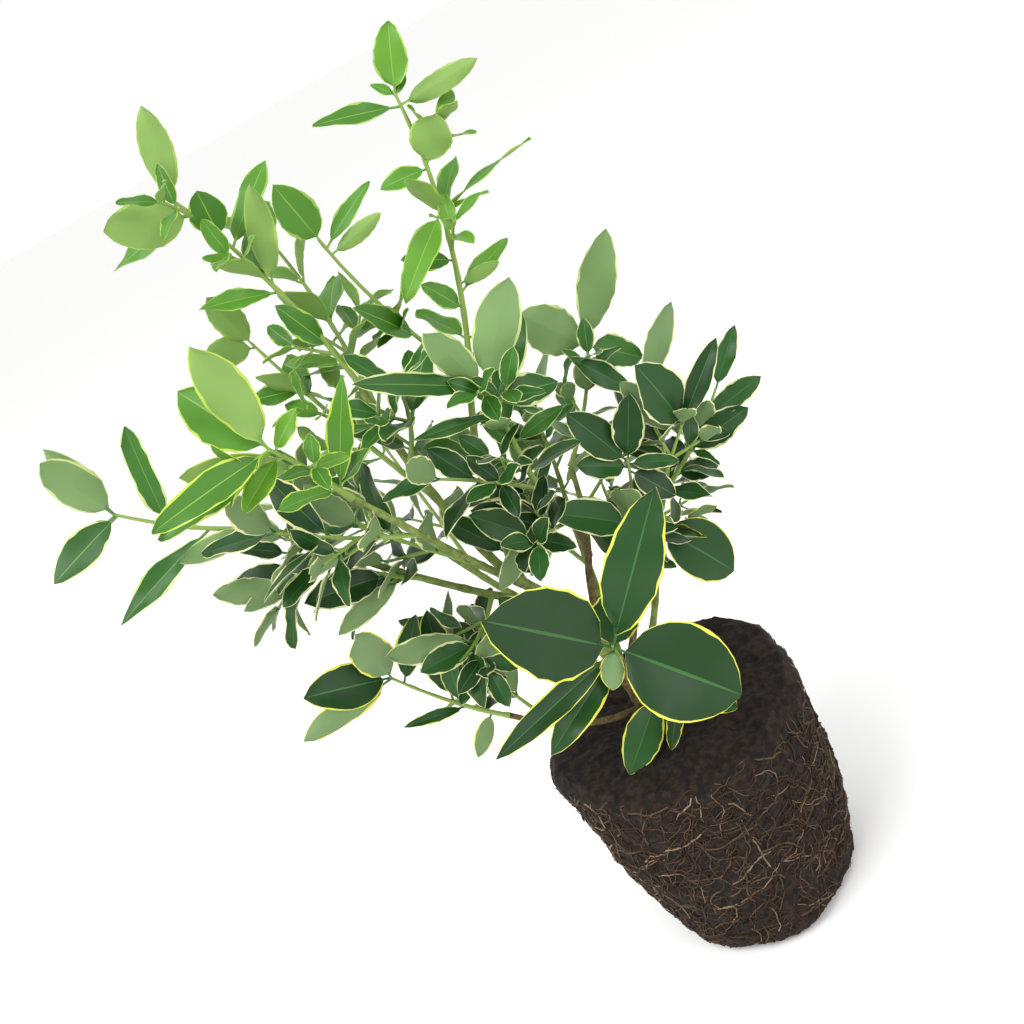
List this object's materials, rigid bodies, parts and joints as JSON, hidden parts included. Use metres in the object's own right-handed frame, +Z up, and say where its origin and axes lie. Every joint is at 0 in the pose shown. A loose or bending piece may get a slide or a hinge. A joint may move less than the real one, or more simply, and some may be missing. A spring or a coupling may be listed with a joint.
{
  "type": "variegated evergreen shrub on its root ball",
  "caption": "Small bushy evergreen shrub with opposite, pale-edged leaves on thin branching stems, rising from a bare, tapered, root-bound ball of compost.",
  "frame": {"origin": "Centre of the root ball's flat underside, on the ground.", "axes": "+Z up along the root ball's axis and the plant's height, -Y the front that the picture shows, +X to the right of it."},
  "size_m": [0.2608, 0.1976, 0.4108],
  "materials": {
    "bark": "matte young bark, green to brown",
    "foliage": "satin green leaves",
    "compost": "dry fibrous compost with matted roots"
  },
  "bodies": {
    "root": {"root_ball": "compost", "main_stem": "bark", "leader_left": "bark", "leader_right": "bark", "bough_left": "bark", "bough_tall": "bark", "bough_near_left": "bark", "bough_far_left": "bark", "bough_low_left": "bark", "bough_centre": "bark", "bough_inner_right": "bark", "bough_right": "bark", "bough_front": "bark", "bough_back": "bark", "bough_back_left": "bark", "bough_back_right": "bark", "foliage_top": "foliage", "foliage_left_top": "foliage", "foliage_left_inner": "foliage", "foliage_left_back": "foliage", "foliage_upper_inner": "foliage", "foliage_upper_middle": "foliage", "foliage_near_left": "foliage", "foliage_left_low": "foliage", "foliage_left_middle": "foliage", "foliage_far_left": "foliage", "foliage_under_left": "foliage", "foliage_low_left": "foliage", "foliage_lowest_left": "foliage", "foliage_lower_left": "foliage", "foliage_centre_top": "foliage", "foliage_centre_left": "foliage", "foliage_centre": "foliage", "foliage_inner_middle": "foliage", "foliage_right_middle": "foliage", "foliage_right_back": "foliage", "foliage_right_behind": "foliage", "foliage_right_outer": "foliage", "foliage_right_inner": "foliage", "foliage_right_low": "foliage", "foliage_front": "foliage", "foliage_foot": "foliage", "foliage_back": "foliage", "foliage_back_inner": "foliage", "foliage_back_left": "foliage", "foliage_back_middle": "foliage", "foliage_back_right": "foliage", "foliage_back_low": "foliage", "foliage_middle_left": "foliage", "foliage_heart": "foliage"}
  },
  "joints": []
}
